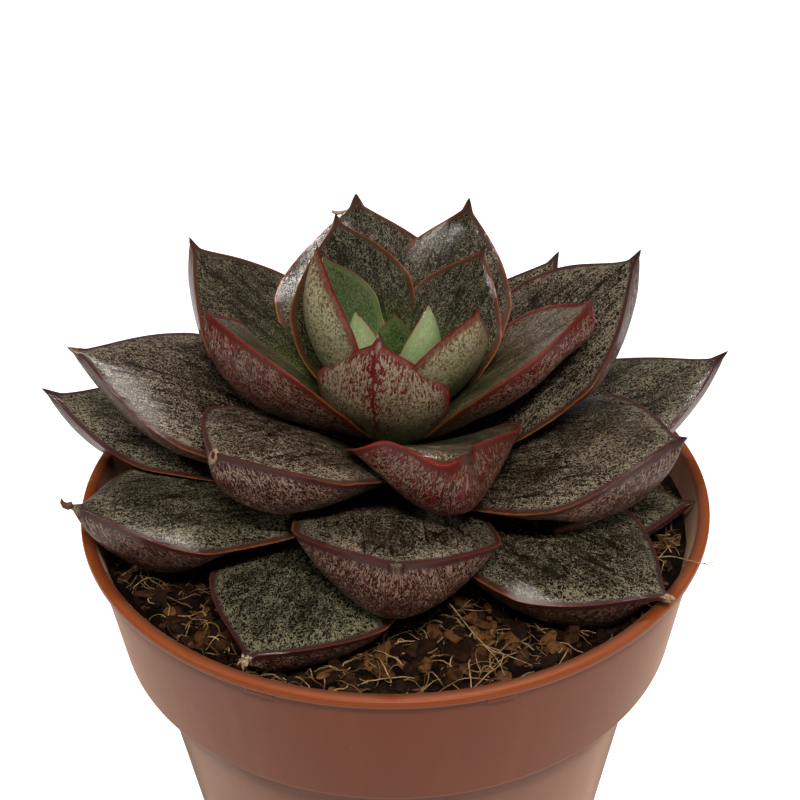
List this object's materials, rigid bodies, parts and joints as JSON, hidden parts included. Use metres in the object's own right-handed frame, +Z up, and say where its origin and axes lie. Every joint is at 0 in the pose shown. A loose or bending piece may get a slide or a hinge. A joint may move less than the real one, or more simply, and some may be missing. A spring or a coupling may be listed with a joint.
{
  "type": "potted echeveria",
  "caption": "Potted echeveria: a rosette of thick, keeled, pointed leaves on a short stem, standing in soil in a round plastic nursery pot with a rolled lip.",
  "frame": {"origin": "centre of the pot's foot, on the surface that it stands on", "axes": "+Z up along the pot's axis; the rosette's front, as pictured, faces -Y"},
  "size_m": [0.117, 0.105, 0.1371],
  "materials": {
    "pot_plastic": "moulded terracotta-coloured plastic, satin, with a glossier lip",
    "potting_soil": "damp peat and coir with bark chips and fibres",
    "stem_bark": "dull, with old leaf scars",
    "young_leaf": "waxy, green to grey-green with crimson flecks and margins",
    "leaf": "waxy, dark olive brown with pale flecks above and maroon below, red-brown margins"
  },
  "bodies": {
    "root": {"pot": "pot_plastic", "soil": "potting_soil", "stem": "stem_bark", "heart": "young_leaf", "leaf_01": "leaf", "leaf_02": "leaf", "leaf_03": "leaf", "leaf_04": "leaf", "leaf_05": "leaf", "leaf_06": "leaf", "leaf_07": "leaf", "leaf_08": "leaf", "leaf_09": "leaf", "leaf_10": "leaf", "leaf_11": "leaf", "leaf_12": "leaf", "leaf_13": "leaf", "leaf_14": "leaf", "leaf_15": "leaf", "leaf_16": "leaf", "leaf_17": "leaf", "leaf_18": "leaf"}
  },
  "joints": []
}
